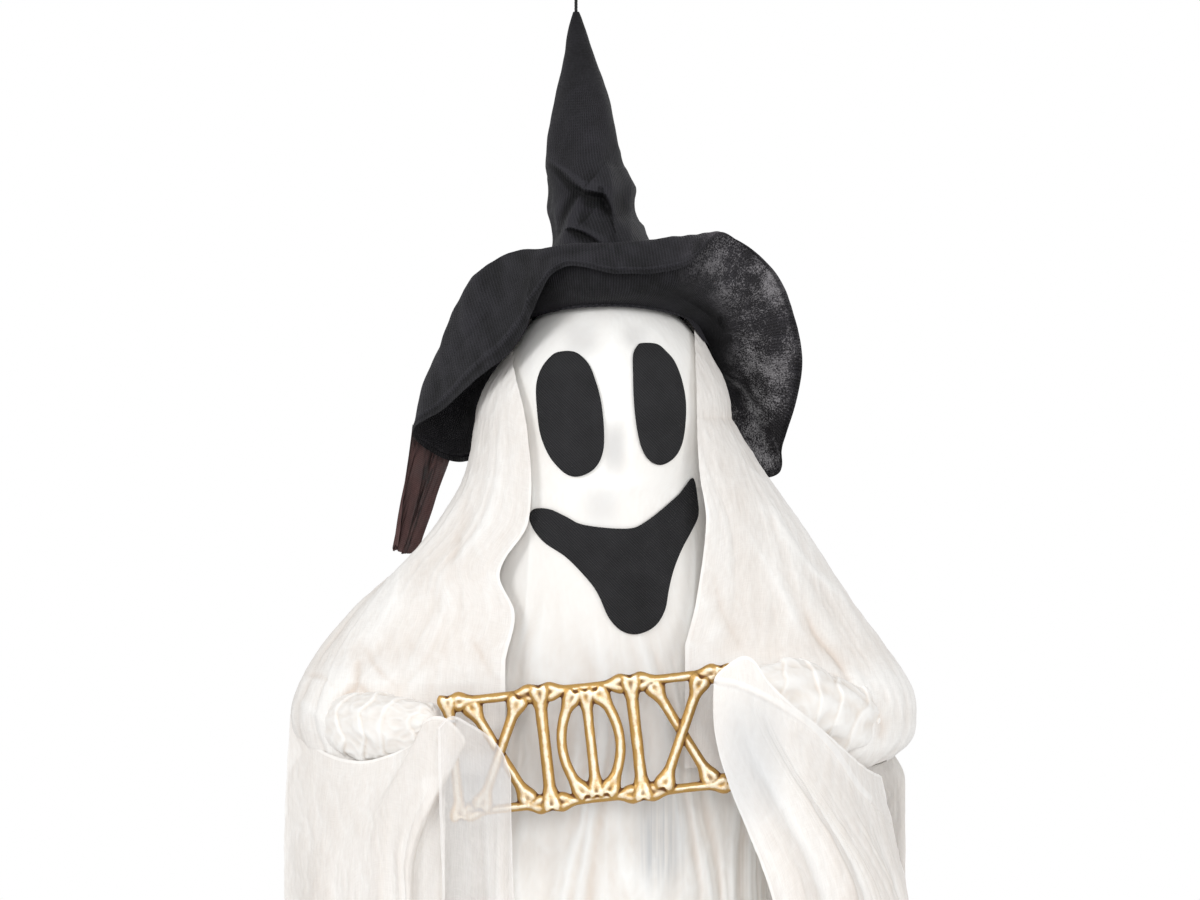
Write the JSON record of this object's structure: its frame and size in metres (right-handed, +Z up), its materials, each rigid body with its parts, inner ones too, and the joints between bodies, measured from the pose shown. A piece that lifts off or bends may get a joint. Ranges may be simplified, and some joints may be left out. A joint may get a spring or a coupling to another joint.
{
  "type": "light-up hanging ghost figure",
  "caption": "Hanging ghost in a crumpled witch's hat: hollow lit head under gauze, wired arms with bell sleeves holding a swinging trellis sign of cast bones.",
  "frame": {"origin": "crown of the hanging loop, where a hook carries it", "axes": "+Z up along the hanging cord, -Y out of the face, +X to the right of a viewer who faces the figure"},
  "size_m": [0.4735, 0.2747, 0.9975],
  "materials": {
    "cord_black": "twisted cord",
    "hat_black": "ribbed non-woven cloth, matt",
    "gauze_brown": "open gauze, slightly shiny",
    "cloth_white": "soft plain cloth under gauze",
    "gauze_white": "sheer open gauze",
    "felt_black": "fine diagonal weave, matt",
    "padding_white": "gauze wound over soft stuffing",
    "shell_white": "translucent moulded shell",
    "case_white": "moulded, satin",
    "switch_black": "moulded",
    "steel": "bright zinc-plated wire and strip",
    "cell_grey": "plain printed sleeve",
    "board_green": "circuit board",
    "lamp_clear": "clear epoxy lamp",
    "lead_red": "PVC sleeve",
    "bone_gold": "antique gold paint with a dark brown wash"
  },
  "bodies": {
    "figure": {"hanging_loop": "cord_black", "hanging_cord": "cord_black", "hat_cord": "cord_black", "cord_anchor": "case_white", "hat_cone": "hat_black", "hat_brim": "hat_black", "gauze_tail": "gauze_brown", "head_front": "shell_white", "head_rear": "shell_white", "neck_plug": "case_white", "lamp_post": "case_white", "lamp_board": "board_green", "lamp_1": "lamp_clear", "lamp_2": "lamp_clear", "lamp_3": "lamp_clear", "lamp_4": "lamp_clear", "lamp_lead": "lead_red", "wire_clamp": "case_white", "shoulder_wire": "steel", "battery_case": "case_white", "battery_cell_1": "cell_grey", "battery_cell_2": "cell_grey", "battery_cell_3": "cell_grey", "contact_strip": "steel", "spring_strip": "steel", "switch_body": "steel", "robe_front": "cloth_white", "robe_back": "cloth_white", "eye_left": "felt_black", "eye_right": "felt_black", "mouth": "felt_black", "upper_arm_left": "padding_white", "upper_arm_right": "padding_white", "cape_left": "gauze_white", "cape_right": "gauze_white", "sleeve_back_left": "gauze_white", "sleeve_back_right": "gauze_white"},
    "arms": {"forearm_left": "padding_white", "forearm_right": "padding_white", "forearm_wire_left": "steel", "forearm_wire_right": "steel", "wrist_ring_left": "steel", "wrist_ring_right": "steel", "sleeve_left": "gauze_white", "sleeve_right": "gauze_white", "cuff_veil": "gauze_white"},
    "sign": {"bone_sign": "bone_gold"},
    "battery_door": {"battery_door": "case_white"},
    "power_switch": {"switch_knob": "switch_black"}
  },
  "joints": [
    {"name": "elbow_bend", "type": "hinge", "parent": "figure", "child": "arms", "pos_m": [0.02, -0.01, -0.609], "axis": [1, 0, 0], "range_deg": [-15, 0]},
    {"name": "sign_swing", "type": "hinge", "parent": "arms", "child": "sign", "pos_m": [-0.09039, -0.11, -0.60426], "axis": [0.9938, 0, 0.1115], "range_deg": [-6, 6]},
    {"name": "battery_door_slide", "type": "slide", "parent": "figure", "child": "battery_door", "axis": [0, 0, -1], "range_m": [0, 0.06]},
    {"name": "power_switch_slide", "type": "slide", "parent": "figure", "child": "power_switch", "axis": [0, 0, -1], "range_m": [0, 0.004]}
  ]
}
